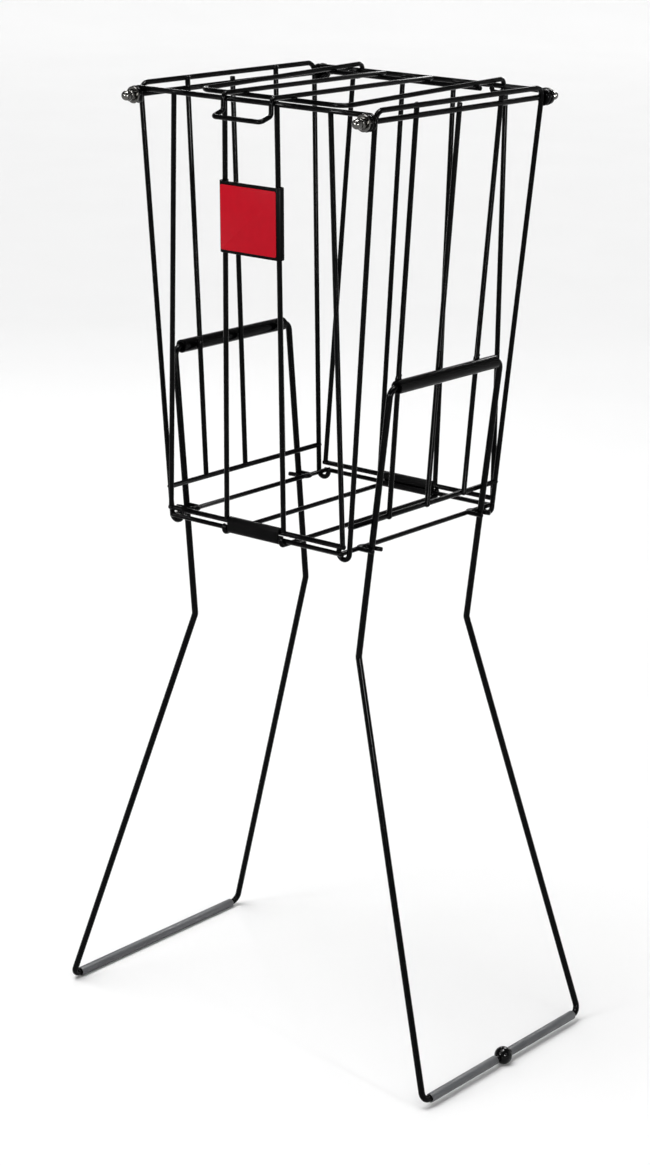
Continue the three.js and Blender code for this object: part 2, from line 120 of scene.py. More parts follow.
# Softened edges
FINE_EDGE = 0.00018
WASHER_EDGE = 0.0003
BINDING_EDGE = 0.0004
GRIP_EDGE = 0.0004
PLATE_EDGE = 0.0005
SLEEVE_EDGE = 0.0006
LABEL_CORNER = 0.0016
LABEL_EDGE_ANGLE = 1.2  # between the label's faces and its sides, at least

# Angles past which a surface is shaded with an edge, in degrees
SMOOTH = 35
SHEET_SMOOTH = 50
NUT_SMOOTH = 32

# Binding sleeves, sign, nuts and knob
BINDING_SLIT = 0.0009  # half the slit, on the side of the grid
BINDING_BACK = 0.00015  # from the middle of the rim towards the grid
SIGN_WRAP = 0.55 * math.pi
NUT_CHAMFER = 0.0006
CHAMFER_OUT = 0.3  # chamfer's circle outside the flats, in chamfers
NUT_NECK = 0.0004  # groove between hexagon and dome
CAP_ROOT = 0.0005  # dome's foot inside the hexagon
CUT_LAP = 0.0001  # chamfer's cutter past the hexagon
BORE_DEPTH = 0.0075
BORE_TIP = 0.009
BORE_MOUTH = 0.001  # bore's cutter past the nut's face
KNOB_GROOVE = 0.00025  # mould line round the middle

# Studio: a flat floor that sweeps up into a wall, a sun for a ceiling, lights and softboxes
FLOOR_RADIUS = 9
SWEEP_RADIUS = 3
WALL_TOP = 7
CEILING_SPREAD = math.radians(40)
CEILING_TILT = (math.radians(12), math.radians(-8), 0)
LIGHT_AIM = 0.55
LIGHT_SIZE = (0.05, 1.2)
LIGHTS = (("key", (-0.9, -2.3, 1.9)), ("fill", (2.5, -0.5, 1.5)), ("back", (-1.9, 1.6, 1.8)))
# Softboxes that only gloss shows: name, place, width and height, share of their power
SOFTBOXES = (
    ("box_over", (0.19, 0.05, 2.41), (0.5, 0.5), 1.0),
    ("box_left", (-0.18, -2.05, 1.19), (0.4, 0.4), 0.7),
    ("box_right", (2.08, -1.23, 0.90), (0.4, 0.4), 0.7),
    ("box_behind", (-0.30, 1.80, 1.50), (0.5, 0.5), 0.3),
)
SENSOR = 36  # millimetres
NOISE_RANGE = (0.35, 0.65)  # where most of a noise's values lie


def middle_of_basket():
    """The middle of the basket on the floor, from the panels of the frame."""
    low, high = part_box("front_panel")
    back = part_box("rear_panel")[1]
    return Vector(((low[0] + high[0]) / 2, (low[1] + back[1]) / 2, 0))


MIDDLE = middle_of_basket()


def length(name, default, description):
    """A size in metres that the sidebar shows."""
    return FloatProperty(name=name, description=description, default=default, unit="LENGTH", precision=5)


def angle(name, degrees, description):
    """An angle that the sidebar shows."""
    return FloatProperty(name=name, description=description, default=math.radians(degrees), subtype="ANGLE")


def power(name, default, description):
    """A light's power in watts that the sidebar shows."""
    return FloatProperty(name=name, description=description, default=default, unit="POWER")


def strength(name, default, description):
    """A light's plain strength that the sidebar shows."""
    return FloatProperty(name=name, description=description, default=default)


def colour(name, default, description):
    """A linear colour that the sidebar shows as a swatch."""
    return FloatVectorProperty(
        name=name, description=description, default=default, subtype="COLOR", size=3, min=0, max=1
    )


class HopperWires(bpy.types.PropertyGroup):
    """Radii of the wires."""

    panel: length("Panel wire", 0.0024, "Radius of the wires of the basket walls")
    rod: length("Rod", 0.0025, "Radius of the threaded rod along each side")
    grid: length("Grid wire", 0.0022, "Radius of the wires of the bottom grid")
    lid: length("Lid wire", 0.0022, "Radius of the lid's wires")
    fork: length("Fork wire", 0.0021, "Radius of the sprung forks under the basket")
    leg: length("Leg wire", 0.0030, "Radius of the leg frames' wire")


class HopperBasket(bpy.types.PropertyGroup):
    """Places of the basket's wires, from the middle of the basket."""

    eye_z: length("Eye height", 0.887, "Height of the four eyes and of the rods through them")
    top_x: length("Half width at the eyes", 0.1296, "From the middle to each rod")
    top_y: length("Half depth at the rim", 0.129, "From the middle to the rims")
    bottom_z: length("Bottom rim height", 0.508, "Height of the bottom rims")
    bottom_x: length("Half width at the bottom", 0.105, "From the middle to the side panels' plane")
    bottom_y: length("Half depth at the bottom", 0.115, "From the middle to the bottom rims")
    eye_radius: length("Eye radius", 0.0057, "Centre line radius of an eye")
    upright_outer_top: length("Outer upright, top", 0.0882, "Outer uprights of the ends at the rim")
    upright_inner_top: length("Inner upright, top", 0.0294, "Inner uprights of the ends at the rim")
    upright_outer_bottom: length("Outer upright, bottom", 0.101, "Outer uprights at the bottom rim")
    upright_inner_bottom: length("Inner upright, bottom", 0.0334, "Inner uprights at the bottom rim")
    side_top_out: length("Side panel stand-off", 0.002, "Side panels' plane outside the rods")
    side_top_above: length("Side bar above the rod", 0.0092, "Top bar of the side panels above the rod")
    side_bar_z: length("Side bottom bar height", 0.526, "Height of the bottom bar of the side panels")
    side_upright_top: length("Side upright, top", 0.063, "Outer side uprights at the top")
    side_upright_bottom: length("Side upright, bottom", 0.057, "Outer side uprights at the bottom")
    side_upright_lean: length("Side upright lean", 0.0022, "Uprights outside the bottom bar, inside the top")
    corner_inset: length("Corner inset", 0.0052, "Corner posts behind the plane of the ends")
    post_hook: length("Post hook radius", 0.006, "Hooks under the corner posts")
    grid_z: length("Grid height", 0.501, "Height of the bottom grid")


class HopperLegs(bpy.types.PropertyGroup):
    """Places of the leg frames, their sleeves, grips and knob, from the middle of the basket."""

    pivot_x: length("Pivot", 0.1256, "From the middle to the pivot axis")
    pivot_z: length("Pivot height", 0.650, "Height of the pivot axis")
    upright_y: length("Upright", 0.0835, "Leg uprights in front of and behind the middle")
    knee_x: length("Knee", 0.098, "From the middle to the knees")
    knee_z: length("Knee height", 0.3975, "Height of the knees")
    foot_x: length("Foot", 0.2175, "From the middle to the foot bars")
    foot_y: length("Half foot bar", 0.127, "Half length of the foot bars")
    bend: length("Bend radius", 0.008, "Inner bends of the leg wire")
    sleeve_radius: length("Sleeve radius", 0.0062, "Outer radius of the pivot sleeves")
    sleeve_half: length("Half sleeve", 0.075, "Half length of the pivot sleeves")
    weld_radius: length("Weld radius", 0.0032, "Welds round the side uprights behind the sleeves")
    weld_below: length("Weld below", 0.006, "Reach of the welds below the pivot axis")
    weld_above: length("Weld above", 0.009, "Reach of the welds above the pivot axis")
    grip_radius: length("Grip radius", 0.0044, "Outer radius of the grips")
    grip_end: length("Grip end", 0.1165, "From the middle of a foot bar to the grip's end")
    grip_gap: length("Grip gap", 0.0045, "Bare wire between the front grip and the knob")
    knob_radius: length("Knob radius", 0.0085, "Radius of the ball knob")


class HopperLid(bpy.types.PropertyGroup):
    """Places of the lid's wires about the axis of the rear rim."""

    half_x: length("Half width", 0.082, "From the middle to the lid's side wires")
    depth: length("Depth", 0.231, "From the rear rim to the lid's front bar")
    rear_rise: length("Rise over the rear rim", 0.0059, "Frame wire above the rear rim")
    front_rise: length("Rise at the front bar", 0.0009, "Frame wire above the front rim")
    cross_bar: length("Cross bar", 0.037, "Cross bar in front of the rear rim")
    cross_overhang: length("Cross bar overhang", 0.005, "Cross bar ends outside the side wires")
    latch_half: length("Half latch", 0.027, "From the middle to the latch wires")
    lip_drop: length("Lip drop", 0.014, "Finger lip below the front rim")
    lip_reach: length("Lip reach", 0.014, "Finger lip in front of the latch wires")


class HopperFastenings(bpy.types.PropertyGroup):
    """Sizes of the nuts, washers, binding sleeves and sign."""

    washer_radius: length("Washer radius", 0.0076, "Outer radius of the washers")
    washer_thickness: length("Washer thickness", 0.0014, "Thickness of the washers")
    nut_corner: length("Nut corner radius", 0.0054, "Hexagon's corner radius")
    nut_hex: length("Hexagon height", 0.005, "Height of the hexagon")
    nut_dome: length("Dome radius", 0.0045, "Radius of the nut's dome")
    nut_height: length("Nut height", 0.012, "Height of the whole nut")
    binding_length: length("Binding length", 0.060, "Length of the binding sleeves")
    binding_wall: length("Binding wall", 0.0015, "Wall of the binding sleeves")
    sign_z: length("Sign height above the floor", 0.789, "Height of the middle of the sign")
    sign_height: length("Sign height", 0.064, "Height of the sign plate")
    sign_wall: length("Sign wall", 0.0016, "Thickness of the sign plate")
    label_width: length("Label width", 0.063, "Width of the label")
    label_height: length("Label height", 0.058, "Height of the label")
    label_thickness: length("Label thickness", 0.0006, "Thickness of the label")


class HopperColours(bpy.types.PropertyGroup):
    """Base colours of the finishes."""

    coat: colour("Wire coat", (0.0010, 0.0010, 0.0011), "Black powder coat")
    sleeve: colour("Sleeve plastic", (0.0015, 0.0015, 0.0016), "Black plastic of sleeves and sign plate")
    grip: colour("Grip", (0.0700, 0.0730, 0.0780), "Dark grey of the grips")
    knob: colour("Knob", (0.0008, 0.0008, 0.0009), "Polished black of the knob")
    # Nickel's base colour is far darker than bright nickel's own: painted shade that stands in for the dark
    # surroundings its mirror finish reflects
    nickel_with_painted_shade: colour("Nickel", (0.1000, 0.0980, 0.0930), "Bright nickel of nuts and washers")
    label: colour("Label", (0.5000, 0.0012, 0.0120), "Red of the printed label")
    floor: colour("Floor", (0.8600, 0.8600, 0.8600), "Pale studio floor")


class HopperStage(bpy.types.PropertyGroup):
    """The camera and the lights."""

    azimuth: angle("Azimuth", 38.08, "Camera's turn from the front towards the right")
    pitch: angle("Pitch", 16.63, "Camera's tilt below the horizontal")
    roll: angle("Roll", 1.24, "Camera's turn about its own axis")
    distance: length("Distance", 2.6749, "From the camera to the aim")
    aim_z: length("Aim height", 0.480, "Height of the aim over the middle of the basket")
    aim_right: length("Aim to the right", -0.00744, "Camera's move to its own right")
    aim_up: length("Aim up", -0.04826, "Camera's move upwards")
    frame_height: length("View height", 0.40958, "What the view takes in from top to bottom, one metre away")
    key: power("Key light", 11.0, "Power of the key light")
    fill: power("Fill light", 8.0, "Power of the fill light")
    back: power("Back light", 8.0, "Power of the back light")
    softbox: power("Softboxes", 60.0, "Power of each small softbox that only gloss shows")
    ceiling: strength("Ceiling", 2.35, "Strength of the wide soft light from above")
    sky: strength("Sky", 0.24, "Strength of the soft light all round")


SETTINGS = {
    "hopper_wires": HopperWires,
    "hopper_basket": HopperBasket,
    "hopper_legs": HopperLegs,
    "hopper_lid": HopperLid,
    "hopper_fastenings": HopperFastenings,
    "hopper_colours": HopperColours,
    "hopper_stage": HopperStage,
}


def settings(context, *names):
    """The scene's groups of settings, by the last words of their names."""
    return [getattr(context.scene, f"hopper_{name}") for name in names]


def mix(low, high, share):
    """The value a share of the way from low to high."""
    return low + (high - low) * share


def rise(basket, z):
    """Share of the way up from the bottom rims to the eyes."""
    return (z - basket.bottom_z) / (basket.eye_z - basket.bottom_z)


def side_x(basket, z):
    """Half width between the side panels' planes at a height."""
    return mix(basket.bottom_x, basket.top_x + basket.side_top_out, rise(basket, z))


def front_y(basket, z):
    """Half depth between the end panels' planes at a height."""
    return mix(basket.bottom_y, basket.top_y, rise(basket, z))


def rim_z(basket):
    """Height of the rims, over the eyes."""
    return basket.eye_z + basket.eye_radius


def arc(centre, along, across, radius, start, stop):
    """Points on an arc about a centre in the plane of two unit axes, evenly stepped."""
    steps = math.ceil(abs(stop - start) / BEND_STEP)
    points = []
    for k in range(steps + 1):
        turned = mix(start, stop, k / steps)
        points.append(centre + along * radius * math.cos(turned) + across * radius * math.sin(turned))
    return points


def rounded(corners, bend):
    """Points along straight runs whose inner corners are rounded to a bend radius."""
    points = [corners[0]]
    for before, corner, after in zip(corners, corners[1:], corners[2:]):
        into = (corner - before).normalized()
        out = (after - corner).normalized()
        turn = into.angle(out)
        start = corner - into * bend * math.tan(turn / 2)
        inward = (out - into * out.dot(into)).normalized()
        points += arc(start + inward * bend, -inward, into, bend, 0, turn)
    return points + [corners[-1]]


def and_back(half, normal):
    """Half a route, and then its mirror image run backwards."""
    return half + [point.reflect(normal) for point in reversed(half)]


def grown_verts(grown):
    """The new vertices among what an extrusion made."""
    return [item for item in grown["geom"] if isinstance(item, bmesh.types.BMVert)]


def ring_edges(verts):
    """The edges that run round a ring of vertices, each once and always in the same order."""
    members = set(verts)
    found = (edge for vert in verts for edge in vert.link_edges if set(edge.verts) <= members)
    return list(dict.fromkeys(found))


def soften(bm, edges, width, segments):
    """Rounds some edges."""
    bmesh.ops.bevel(bm, geom=edges, offset=width, offset_type="OFFSET", segments=segments,
                    profile=0.5, affect="EDGES", material=-1, clamp_overlap=True)


def wire(route, radius, sides=WIRE_SIDES):
    """A round wire drawn along a route, with cut ends whose edges the coating has rounded."""
    bm = bmesh.new()
    ring = bmesh.ops.create_circle(bm, segments=sides, radius=radius)["verts"]
    headings = []
    for i, point in enumerate(route):
        heading = Vector()
        if i > 0:
            heading += (point - route[i - 1]).normalized()
        if i < len(route) - 1:
            heading += (route[i + 1] - point).normalized()
        headings.append(heading.normalized())
    turn = Z.rotation_difference(headings[0]).to_matrix()
    bmesh.ops.rotate(bm, verts=ring, cent=(0, 0, 0), matrix=turn)
    bmesh.ops.translate(bm, verts=ring, vec=route[0])
    first = ring_edges(ring)
    edges = first
    for i in range(1, len(route)):
        ring = grown_verts(bmesh.ops.extrude_edge_only(bm, edges=edges))
        turn = headings[i - 1].rotation_difference(headings[i]).to_matrix()
        bmesh.ops.rotate(bm, verts=ring, cent=route[i - 1], matrix=turn)
        bmesh.ops.translate(bm, verts=ring, vec=route[i] - route[i - 1])
        edges = ring_edges(ring)
    for end in (first, edges):
        bmesh.ops.contextual_create(bm, geom=end)
    soften(bm, first + edges, radius * END_ROUND, 3)
    bmesh.ops.recalc_face_normals(bm, faces=bm.faces)
    return bm


def bead(centre, normal, thick, wide):
    """A weld bead, flattened along the normal of the two wires that cross there."""
    bm = bmesh.new()
    ball = bmesh.ops.create_uvsphere(bm, u_segments=16, v_segments=10, radius=1)["verts"]
    turn = Z.rotation_difference(normal).to_matrix().to_4x4()
    shape = Matrix.Translation(centre) @ turn @ Matrix.Diagonal((wide, wide, thick, 1))
    bmesh.ops.transform(bm, matrix=shape, verts=ball)
    return bm


def weld(centre, normal, r, shape):
    """A weld bead whose sizes come from the radius of its wires."""
    thick, wide = shape
    return bead(centre, normal, r * thick, r * wide)


def strip(route, run, depth):
    """An open strip: a route of points drawn along a run, from half a depth behind to half before."""
    bm = bmesh.new()
    verts = [bm.verts.new(point - run * depth / 2) for point in route]
    edges = [bm.edges.new(pair) for pair in zip(verts, verts[1:])]
    moved = grown_verts(bmesh.ops.extrude_edge_only(bm, edges=edges))
    bmesh.ops.translate(bm, verts=moved, vec=run * depth)
    bmesh.ops.recalc_face_normals(bm, faces=bm.faces)
    return bm


def spun(profile, axis, steps):
    """A closed solid of revolution about an axis through the origin, from a profile of points."""
    bm = bmesh.new()
    verts = [bm.verts.new(point) for point in profile]
    edges = [bm.edges.new(pair) for pair in zip(verts, verts[1:])]
    on_axis = min(point.cross(axis).length for point in profile) < TINY
    if not on_axis:
        edges.append(bm.edges.new((verts[-1], verts[0])))
    bmesh.ops.spin(bm, geom=verts + edges, cent=(0, 0, 0), axis=axis, angle=2 * math.pi, steps=steps,
                   use_merge=True)
    bmesh.ops.remove_doubles(bm, verts=bm.verts, dist=TINY)
    bmesh.ops.recalc_face_normals(bm, faces=bm.faces)
    return bm


def turned(rows, steps=TURN_STEPS):
    """A solid turned about Y, from radii with their places along it."""
    return spun([Vector((radius, y, 0)) for radius, y in rows], Y, steps)


def from_bmesh(bm):
    """A mesh from a bmesh, which is freed."""
    mesh = bpy.data.meshes.new("mesh")
    bm.to_mesh(mesh)
    bm.free()
    return mesh


def to_bmesh(mesh):
    """A bmesh from a mesh, which is removed."""
    bm = bmesh.new()
    bm.from_mesh(mesh)
    bpy.data.meshes.remove(mesh)
    return bm


def solid_from(meshes):
    """A temporary object that holds several closed shells which don't touch."""
    whole = bmesh.new()
    for bm in meshes:
        shell = from_bmesh(bm)
        whole.from_mesh(shell)
        bpy.data.meshes.remove(shell)
    solid = bpy.data.objects.new("shells", from_bmesh(whole))
    bpy.context.scene.collection.objects.link(solid)
    return solid


def applied(solid, others=()):
    """The mesh that a temporary object's modifiers make. It and the others are removed."""
    bpy.context.view_layer.update()
    graph = bpy.context.evaluated_depsgraph_get()
    mesh = bpy.data.meshes.new_from_object(solid.evaluated_get(graph))
    for used in (solid, *others):
        data = used.data
        bpy.data.objects.remove(used)
        bpy.data.meshes.remove(data)
    return mesh


def combined(layers, operation="UNION"):
    """One closed mesh from layers of shells that cross each other."""
    solid, *others = [solid_from(layer) for layer in layers]
    for other in others:
        joint = solid.modifiers.new("weld", "BOOLEAN")
        joint.operation = operation
        joint.solver = "MANIFOLD"
        joint.object = other
    return applied(solid, others)


def thickened(bm, wall, edge_radius):
    """Gives a strip its wall, evenly to both sides, and rounds the wall's edges."""
    solid = solid_from([bm])
    shell = solid.modifiers.new("wall", "SOLIDIFY")
    shell.thickness = wall
    shell.offset = 0
    shell.use_even_offset = True
    edge = solid.modifiers.new("edge", "BEVEL")
    edge.width = edge_radius
    edge.segments = 3
    edge.limit_method = "ANGLE"
    edge.angle_limit = math.radians(SHEET_SMOOTH)
    return applied(solid)


def placed(mesh, sign=1, smooth=SMOOTH):
    """Moves a mesh from basket coordinates to the frame's, turned round for the rear or the left."""
    turn = 0 if sign > 0 else math.pi
    mesh.transform(Matrix.Translation(MIDDLE) @ Matrix.Rotation(turn, 4, "Z"))
    mesh.shade_smooth()
    mesh.set_sharp_from_angle(angle=math.radians(smooth))
    return mesh


def tube(centre, outer, bore, low, high, edge):
    """A placed tube along Y with rounded ends, from low to high about its centre."""
    inner_row, outer_row = mix(bore, outer, 0.25), mix(bore, outer, 0.75)
    rows = [(bore, low + edge), (inner_row, low), (outer_row, low), (outer, low + edge),
            (outer, high - edge), (outer_row, high), (inner_row, high), (bore, high - edge)]
    mesh = from_bmesh(turned(rows, TUBE_STEPS))
    mesh.transform(Matrix.Translation(centre))
    return placed(mesh)


def add_piece(context, name, mesh, body, node, slot, slack=PLACE_SLACK):
    """An object in the scene that rides on a body and stands for a node of the frame."""
    low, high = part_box(node)
    mesh.name = name
    piece = bpy.data.objects.new(name, mesh)
    context.scene.collection.objects.link(piece)
    mesh.materials.clear()
    mesh.materials.append(finish_of(context, slot))
    for axis in range(3):
        reach = [vert.co[axis] for vert in mesh.vertices]
        if abs(min(reach) - low[axis]) > slack or abs(max(reach) - high[axis]) > slack:
            raise ValueError(f"{name} doesn't fill the place of {node} along axis {axis}")
    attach(piece, body)
    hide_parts(node)


class Finish:
    """A material in the making: a principled shader, and noise on object coordinates to drive it."""

    def __init__(self, name, specular=0.5):
        material = bpy.data.materials.new(name)
        material.use_nodes = True
        self.tree = material.node_tree
        self.shader = self.tree.nodes["Principled BSDF"]
        self.where = self.tree.nodes.new("ShaderNodeTexCoord").outputs["Object"]
        self.set("Specular IOR Level", specular)

    def set(self, socket, value):
        """Sets a value that is the same all over the surface."""
        self.shader.inputs[socket].default_value = value

    def noise(self, scale, detail, roughness=0.5, stretch=None):
        """Noise with so many features to the metre, stretched along an axis if asked."""
        node = self.tree.nodes.new("ShaderNodeTexNoise")
        node.inputs["Scale"].default_value = scale
        node.inputs["Detail"].default_value = detail
        node.inputs["Roughness"].default_value = roughness
        where = self.where
        if stretch:
            mapping = self.tree.nodes.new("ShaderNodeMapping")
            mapping.inputs["Scale"].default_value = stretch
            self.tree.links.new(where, mapping.inputs["Vector"])
            where = mapping.outputs["Vector"]
        self.tree.links.new(where, node.inputs["Vector"])
        return node.outputs["Fac"]

    def tint(self, value, base, dark, light):
        """Drives the base colour between a darker and a lighter shade of a colour."""
        ramp = self.tree.nodes.new("ShaderNodeValToRGB")
        for element, place, factor in zip(ramp.color_ramp.elements, NOISE_RANGE, (dark, light)):
            element.position = place
            element.color = (*(min(1.0, channel * factor) for channel in base), 1)
        self.tree.links.new(value, ramp.inputs["Fac"])
        self.tree.links.new(ramp.outputs["Color"], self.shader.inputs["Base Color"])

    def roughen(self, value, low, high):
        """Drives the roughness over a range."""
        node = self.tree.nodes.new("ShaderNodeMapRange")
        node.inputs["From Min"].default_value, node.inputs["From Max"].default_value = NOISE_RANGE
        node.inputs["To Min"].default_value = low
        node.inputs["To Max"].default_value = high
        self.tree.links.new(value, node.inputs["Value"])
        self.tree.links.new(node.outputs["Result"], self.shader.inputs["Roughness"])

    def bump(self, *heights):
        """Stacks bumps, each a height with its depth in metres, on the normal."""
        normal = None
        for height, depth in heights:
            node = self.tree.nodes.new("ShaderNodeBump")
            node.inputs["Strength"].default_value = 1.0
            node.inputs["Distance"].default_value = depth
            self.tree.links.new(height, node.inputs["Height"])
            if normal:
                self.tree.links.new(normal, node.inputs["Normal"])
            normal = node.outputs["Normal"]
        self.tree.links.new(normal, self.shader.inputs["Normal"])


def coated_wire(name, colours):
    """Glossy black powder coat: fine orange peel, slow waves in its thickness, duller patches."""
    coat = Finish(name, 0.05)
    coat.tint(coat.noise(45, 4), colours.coat, 0.8, 1.5)
    coat.roughen(coat.noise(220, 3), 0.08, 0.17)
    coat.bump((coat.noise(900, 2), 0.000008), (coat.noise(160, 2), 0.00004))


def black_plastic(name, colours):
    """Satin black extruded sleeve: lengthwise draw marks and a fine grain."""
    plastic = Finish(name, 0.04)
    marks = plastic.noise(600, 2, stretch=(1, 0.03, 1))
    plastic.tint(plastic.noise(30, 3), colours.sleeve, 0.8, 1.4)
    plastic.roughen(marks, 0.34, 0.46)
    plastic.bump((marks, 0.00003), (plastic.noise(1500, 2), 0.00002))


def grey_grip(name, colours):
    """Dark grey grip sleeve: close pores, scuffs and a faint lengthwise streak."""
    grip = Finish(name)
    streaks = grip.noise(260, 3, stretch=(1, 0.06, 1))
    grip.tint(streaks, colours.grip, 0.82, 1.22)
    grip.roughen(grip.noise(90, 4), 0.36, 0.50)
    grip.bump((grip.noise(2200, 2), 0.00005), (streaks, 0.00003))


def gloss_black(name, colours):
    """Polished black plastic with hairline scratches."""
    gloss = Finish(name, 0.12)
    scratches = gloss.noise(500, 5, 0.7, stretch=(1, 1, 6))
    gloss.tint(gloss.noise(60, 2), colours.knob, 0.8, 1.6)
    gloss.roughen(scratches, 0.05, 0.13)
    gloss.bump((scratches, 0.000004), (gloss.noise(120, 1), 0.00002))


def bright_nickel(name, colours):
    """Bright nickel plate: fine turning marks, slightly clouded; its base colour is set far darker than
    nickel's own, as painted shade standing in for dark surroundings in its reflections.
    """
    nickel_with_painted_shade = Finish(name)
    nickel_with_painted_shade.set("Metallic", 1.0)
    # The dark base colour is painted shade that stands in for dark surroundings in the plate's reflections
    nickel_with_painted_shade.tint(nickel_with_painted_shade.noise(350, 3), colours.nickel_with_painted_shade, 0.88, 1.08)
    nickel_with_painted_shade.roughen(nickel_with_painted_shade.noise(900, 3), 0.04, 0.09)
    nickel_with_painted_shade.bump((nickel_with_painted_shade.noise(1600, 2, stretch=(1, 4, 1)), 0.000006))


def red_label(name, colours):
    """Printed red label under a satin film: faint print mottle and a soft ripple in the film."""
    label = Finish(name, 0.08)
    label.tint(label.noise(130, 4), colours.label, 0.97, 1.03)
    label.roughen(label.noise(400, 2), 0.30, 0.42)
    label.bump((label.noise(70, 2), 0.00004), (label.noise(1800, 1), 0.000005))


def studio_floor(name, colours):
    """Pale seamless floor with a faint grain."""
    floor = Finish(name, 0.2)
    floor.tint(floor.noise(3, 2), colours.floor, 0.995, 1.005)
    floor.set("Roughness", 0.85)


FINISHES = {
    "coated_wire": coated_wire,
    "black_plastic": black_plastic,
    "grey_grip": grey_grip,
    "gloss_black": gloss_black,
    "bright_nickel": bright_nickel,
    "red_label": red_label,
    "studio_floor": studio_floor,
}


def finish_of(context, name):
    """The material of a finish, made the first time it is asked for."""
    title = f"{name}_finish"
    if title not in bpy.data.materials:
        FINISHES[name](title, context.scene.hopper_colours)
    return bpy.data.materials[title]


def eye_route(basket, wires, side):
    """A turn and a half of wire round a rod's end, one wire further forward after the first turn."""
    centre = Vector((side * basket.top_x, -basket.top_y, basket.eye_z))
    whole = 2 * math.pi * EYE_TURNS
    points = arc(centre, X * side, Z, basket.eye_radius, math.pi / 2, math.pi / 2 - whole)
    pitch = 2 * wires.panel + COIL_GAP
    for k, point in enumerate(points):
        gone = whole * k / (len(points) - 1)
        share = min(1.0, max(0.0, (gone - math.pi) / (math.pi / 2)))
        point.y -= pitch * share * share * (3 - 2 * share)
    return points


class HOPPER_OT_end_panels(bpy.types.Operator):
    """Make the front and rear panels: rim with two eyes, four uprights and a bottom rim"""

    bl_idname = "hopper.end_panels"
    bl_label = "End panels"

    def execute(self, context):
        basket, wires = settings(context, "basket", "wires")
        top, bottom, r = rim_z(basket), basket.bottom_z, wires.panel
        rim = list(reversed(eye_route(basket, wires, -1))) + eye_route(basket, wires, 1)
        reach = basket.upright_outer_bottom + r
        bottom_rim = [Vector((side * reach, -basket.bottom_y, bottom)) for side in BOTH]
        outer = (basket.upright_outer_bottom, basket.upright_outer_top)
        inner = (basket.upright_inner_bottom, basket.upright_inner_top)
        feet = [(side * low, side * high) for low, high in (outer, inner) for side in BOTH]
        for end, sign in ENDS:
            uprights, beads = [], []
            for low_x, high_x in feet:
                foot = Vector((low_x, -basket.bottom_y, bottom - RIM_LAP))
                head = Vector((high_x, -front_y(basket, top), top + RIM_LAP))
                uprights.append(wire([foot, head], r))
                beads.append(weld(Vector((low_x, -basket.bottom_y, bottom)), Z, r, RIM_WELD))
                beads.append(weld(Vector((high_x, -basket.top_y, top)), Z, r, RIM_WELD))
            mesh = combined([[wire(rim, r)], uprights, [wire(bottom_rim, r)], beads])
            add_piece(context, f"{end}_panel_wires", placed(mesh, sign), "basket", f"{end}_panel",
                      "coated_wire")
        return {"FINISHED"}


def side_upright(basket, quarter, z):
    """A point on the axis of a side upright at a height."""
    share = rise(basket, z)
    lean = mix(basket.side_upright_lean, -basket.side_upright_lean, share)
    spread_y = mix(basket.side_upright_bottom, basket.side_upright_top, share)
    return Vector((side_x(basket, z) + lean, quarter * spread_y, z))


def post(basket, side, z):
    """A point on the axis of a corner post of the right panel at a height."""
    return Vector((side_x(basket, z), side * (front_y(basket, z) - basket.corner_inset), z))


class HOPPER_OT_side_panels(bpy.types.Operator):
    """Make the left and right panels: bent frame, rod, bottom bar, uprights and sleeve welds"""

    bl_idname = "hopper.side_panels"
    bl_label = "Side panels"

    def execute(self, context):
        basket, wires, legs = settings(context, "basket", "wires", "legs")
        r = wires.panel
        top_z = basket.eye_z + basket.side_top_above
        corners = and_back([post(basket, -1, basket.grid_z), post(basket, -1, top_z)], Y)

        def hook_under(side):
            centre = post(basket, side, basket.grid_z) - X * basket.post_hook
            return arc(centre, X, Z, basket.post_hook, -POST_HOOK_TURN, 0)

        frame_route = hook_under(-1) + rounded(corners, PANEL_BEND)[1:-1] + list(reversed(hook_under(1)))
        rod_end = basket.top_y + 2 * r + ROD_END
        rod = [Vector((basket.top_x, side * rod_end, basket.eye_z)) for side in BOTH]
        bar = [post(basket, side, basket.side_bar_z) for side in BOTH]
        tops = (top_z, basket.eye_z + SHORT_UPRIGHT, top_z)
        for place, sign in SIDES:
            uprights, beads, lumps = [], [], []
            for quarter, upper in zip((-1, 0, 1), tops):
                foot = side_upright(basket, quarter, basket.side_bar_z - BAR_LAP)
                uprights.append(wire([foot, side_upright(basket, quarter, upper + BAR_LAP)], r))
                for z in [basket.side_bar_z, basket.eye_z] + ([top_z] if quarter else []):
                    beads.append(weld(side_upright(basket, quarter, z), Y, r, UPRIGHT_WELD))
            for side in BOTH:
                at_rod = Vector((basket.top_x + ROD_WELD_OUT, post(basket, side, top_z).y, basket.eye_z))
                beads.append(weld(post(basket, side, basket.side_bar_z), Z, r, BAR_WELD))
                beads.append(weld(at_rod, Z, r, ROD_WELD))
                low = side_upright(basket, side, legs.pivot_z - legs.weld_below)
                high = side_upright(basket, side, legs.pivot_z + legs.weld_above)
                beads.append(bead((low + high) / 2, high - low, (high - low).length / 2, legs.weld_radius))
                lumps.append(weld(high + LUMP_SHIFT, Z, r, LUMP_WELD))
            mesh = combined([[wire(frame_route, r)], [wire(rod, wires.rod)], [wire(bar, r)],
                             uprights, beads, lumps])
            add_piece(context, f"{place}_panel_wires", placed(mesh, sign), "basket", f"{place}_panel",
                      "coated_wire")
        return {"FINISHED"}


def leg_upright_x(legs, z):
    """From the middle to the axis of a leg upright at a height between knee and pivot."""
    return mix(legs.knee_x, legs.pivot_x, (z - legs.knee_z) / (legs.pivot_z - legs.knee_z))


